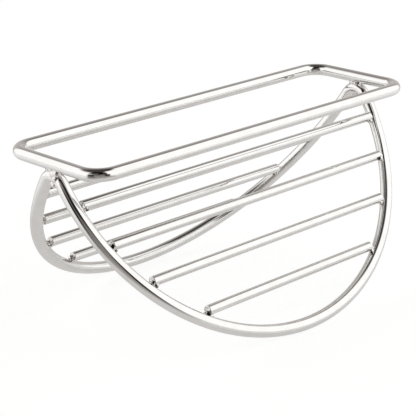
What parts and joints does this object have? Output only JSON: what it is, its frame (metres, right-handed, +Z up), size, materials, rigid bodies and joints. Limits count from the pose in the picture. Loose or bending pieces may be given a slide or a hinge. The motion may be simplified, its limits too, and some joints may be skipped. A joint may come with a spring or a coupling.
{
  "type": "taco holder",
  "caption": "Wire taco holder: a folded hoop of steel wire stands like a tent, bridged by thin rods, with a rounded rectangular ring welded across the folds.",
  "frame": {"origin": "on the surface that the holder stands on, below the middle of the ring", "axes": "+X along the two folds, +Y to the rear half circle, +Z up towards the ring"},
  "size_m": [0.1554, 0.0952, 0.0708],
  "materials": {
    "polished_wire": "bright polished stainless steel wire",
    "weld_bead": "cleaned weld metal, slightly uneven"
  },
  "bodies": {
    "root": {"top_ring": "polished_wire", "cradle_hoop": "polished_wire", "front_rod_1": "polished_wire", "front_rod_2": "polished_wire", "front_rod_3": "polished_wire", "front_rod_4": "polished_wire", "rear_rod_1": "polished_wire", "rear_rod_2": "polished_wire", "rear_rod_3": "polished_wire", "rear_rod_4": "polished_wire", "left_ring_weld": "weld_bead", "right_ring_weld": "weld_bead", "front_rod_1_welds": "weld_bead", "front_rod_2_welds": "weld_bead", "front_rod_3_welds": "weld_bead", "front_rod_4_welds": "weld_bead", "rear_rod_1_welds": "weld_bead", "rear_rod_2_welds": "weld_bead", "rear_rod_3_welds": "weld_bead", "rear_rod_4_welds": "weld_bead"}
  },
  "joints": []
}
